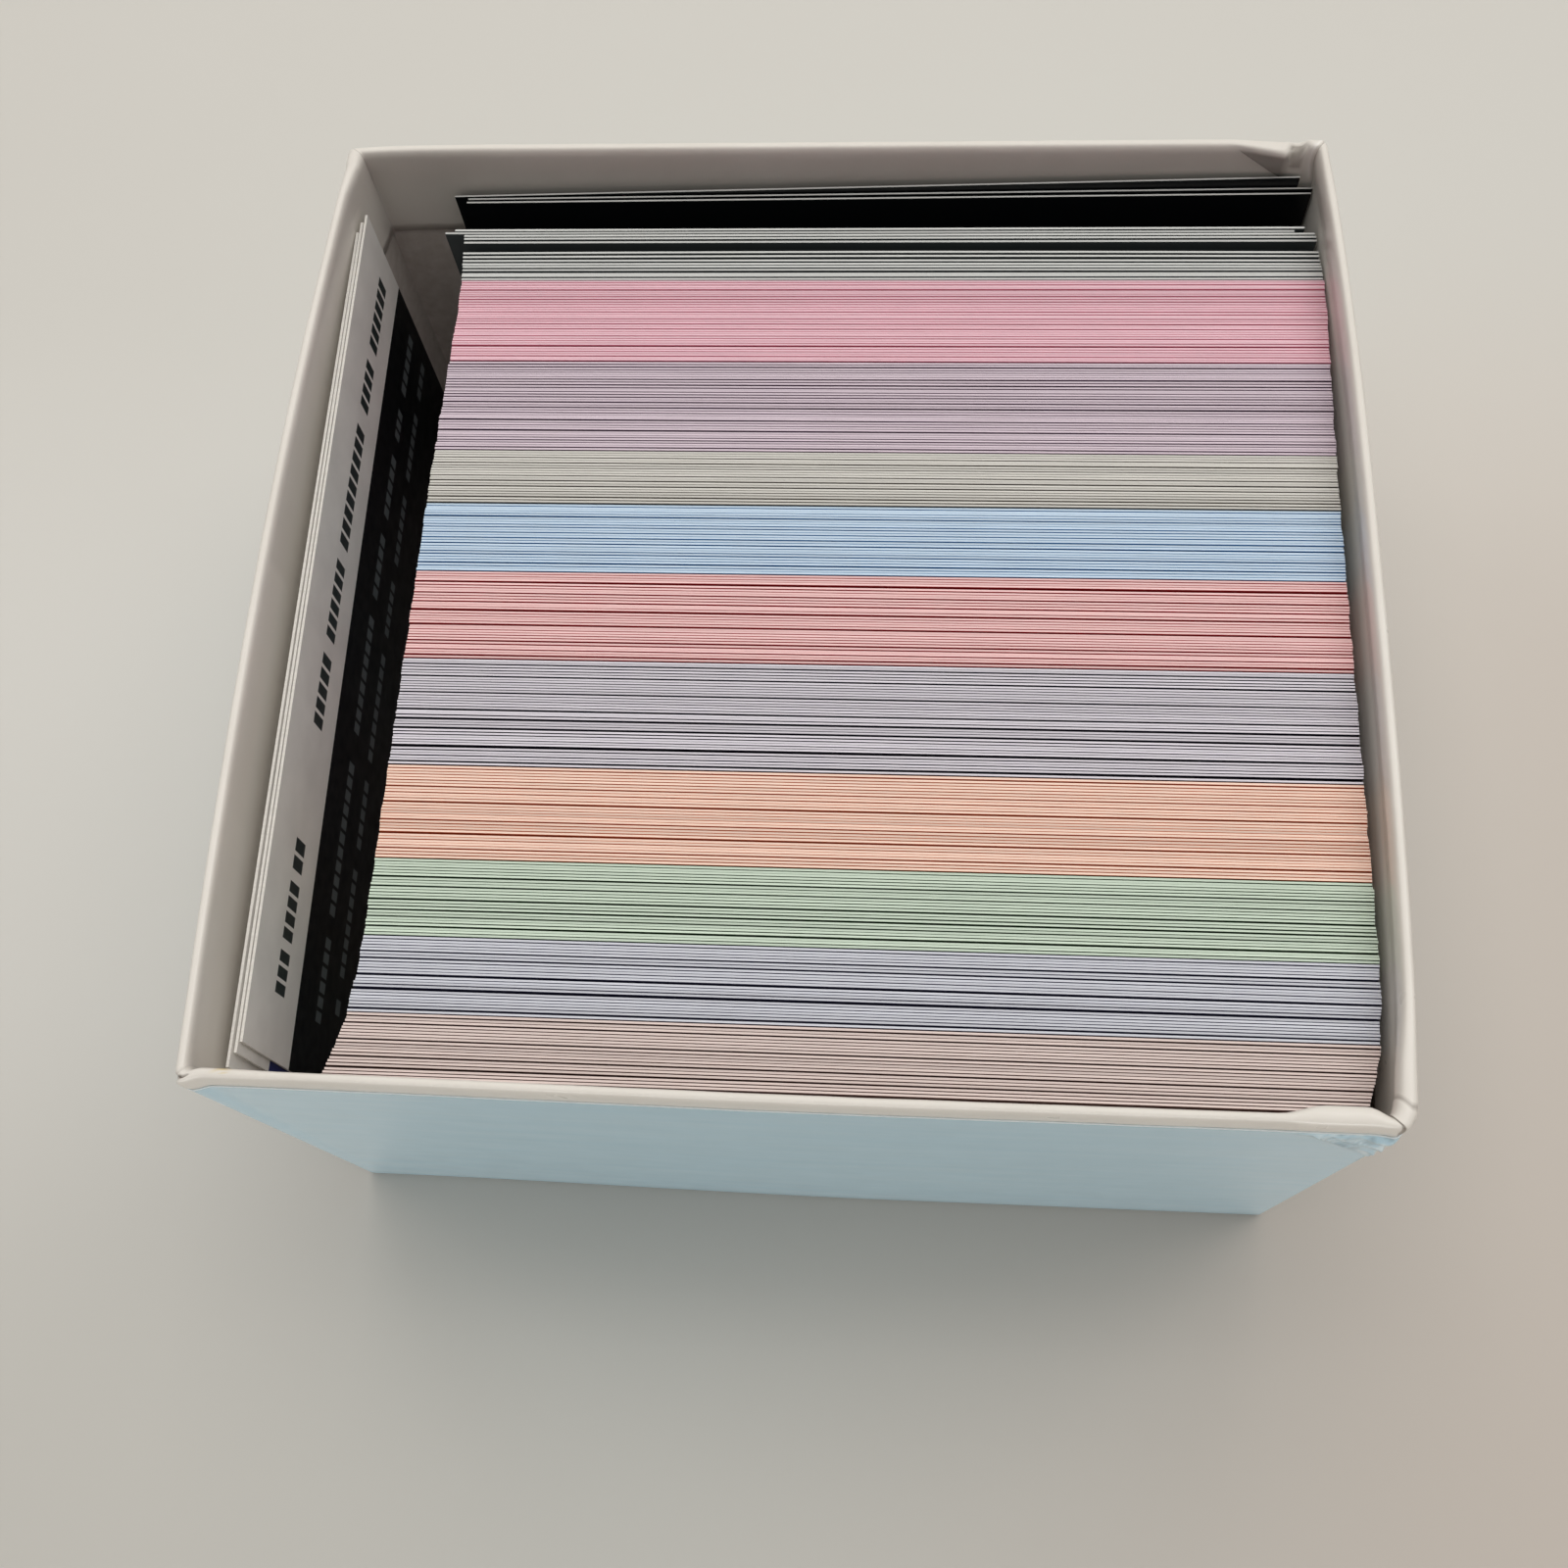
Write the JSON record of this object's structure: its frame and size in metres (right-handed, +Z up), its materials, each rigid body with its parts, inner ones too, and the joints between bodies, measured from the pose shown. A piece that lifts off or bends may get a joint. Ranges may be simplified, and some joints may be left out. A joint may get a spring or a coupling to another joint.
{
  "type": "boxed flash card set",
  "caption": "Open paper-covered board tray full of flash cards with coloured edges that stand in colour groups, with a finger channel and loose cards at the side and back.",
  "frame": {"origin": "centre of the underside of the box", "axes": "+X to the right along the cards' long edges, +Y to the back of the box, +Z up"},
  "size_m": [0.1024, 0.099, 0.0579],
  "materials": {
    "blue_paper": "matte coated",
    "white_paper": "satin coated",
    "grey_board": "matte",
    "kraft_tape": "matte",
    "rose_card": "satin coated",
    "periwinkle_card": "satin coated",
    "green_card": "satin coated",
    "orange_card": "satin coated",
    "lavender_card": "satin coated",
    "red_card": "satin coated",
    "blue_card": "satin coated",
    "sage_card": "satin coated",
    "mauve_card": "satin coated",
    "pink_card": "satin coated",
    "grey_card": "satin coated",
    "dark_card": "satin coated",
    "white_card": "satin coated",
    "navy_card": "satin coated"
  },
  "bodies": {
    "tray": {"base_paper": "blue_paper", "base_board": "grey_board", "front_wall_board": "grey_board", "back_wall_board": "grey_board", "left_wall_board": "grey_board", "right_wall_board": "grey_board", "corner_stays": "kraft_tape", "white_cover": "white_paper", "blue_wrap": "blue_paper"},
    "rose_cards": {"rose_cards": "rose_card"},
    "periwinkle_cards": {"periwinkle_cards": "periwinkle_card"},
    "green_cards": {"green_cards": "green_card"},
    "orange_cards": {"orange_cards": "orange_card"},
    "lavender_cards": {"lavender_cards": "lavender_card"},
    "red_cards": {"red_cards": "red_card"},
    "blue_cards": {"blue_cards": "blue_card"},
    "sage_cards": {"sage_cards": "sage_card"},
    "mauve_cards": {"mauve_cards": "mauve_card"},
    "pink_cards": {"pink_cards": "pink_card"},
    "grey_cards": {"grey_cards": "grey_card"},
    "rear_pair": {"rear_pair": "dark_card"},
    "rear_card": {"rear_card": "dark_card"},
    "side_card_left": {"side_card_left": "white_card"},
    "side_card_middle": {"side_card_middle": "navy_card"},
    "side_card_right": {"side_card_right": "dark_card"}
  },
  "joints": [
    {"name": "lift_rose", "type": "slide", "parent": "tray", "child": "rose_cards", "axis": [0, 0, 1], "range_m": [0, 0.06]},
    {"name": "lift_periwinkle", "type": "slide", "parent": "tray", "child": "periwinkle_cards", "axis": [0, 0, 1], "range_m": [0, 0.06]},
    {"name": "lift_green", "type": "slide", "parent": "tray", "child": "green_cards", "axis": [0, 0, 1], "range_m": [0, 0.06]},
    {"name": "lift_orange", "type": "slide", "parent": "tray", "child": "orange_cards", "axis": [0, 0, 1], "range_m": [0, 0.06]},
    {"name": "lift_lavender", "type": "slide", "parent": "tray", "child": "lavender_cards", "axis": [0, 0, 1], "range_m": [0, 0.06]},
    {"name": "lift_red", "type": "slide", "parent": "tray", "child": "red_cards", "axis": [0, 0, 1], "range_m": [0, 0.06]},
    {"name": "lift_blue", "type": "slide", "parent": "tray", "child": "blue_cards", "axis": [0, 0, 1], "range_m": [0, 0.06]},
    {"name": "lift_sage", "type": "slide", "parent": "tray", "child": "sage_cards", "axis": [0, 0, 1], "range_m": [0, 0.06]},
    {"name": "lift_mauve", "type": "slide", "parent": "tray", "child": "mauve_cards", "axis": [0, 0, 1], "range_m": [0, 0.06]},
    {"name": "lift_pink", "type": "slide", "parent": "tray", "child": "pink_cards", "axis": [0, 0, 1], "range_m": [0, 0.06]},
    {"name": "lift_grey", "type": "slide", "parent": "tray", "child": "grey_cards", "axis": [0, 0, 1], "range_m": [0, 0.06]},
    {"name": "lean_rear_pair", "type": "hinge", "parent": "tray", "child": "rear_pair", "pos_m": [0, 0.04693, 0.00137], "axis": [1, 0, 0], "range_deg": [0, 3.5]},
    {"name": "lift_rear_card", "type": "slide", "parent": "tray", "child": "rear_card", "axis": [0, 0, 1], "range_m": [0, 0.06]},
    {"name": "lift_side_card_left", "type": "slide", "parent": "tray", "child": "side_card_left", "axis": [0, 0, 1], "range_m": [0, 0.06]},
    {"name": "lift_side_card_middle", "type": "slide", "parent": "tray", "child": "side_card_middle", "axis": [0, 0, 1], "range_m": [0, 0.06]},
    {"name": "lift_side_card_right", "type": "slide", "parent": "tray", "child": "side_card_right", "axis": [0, 0, 1], "range_m": [0, 0.06]}
  ]
}
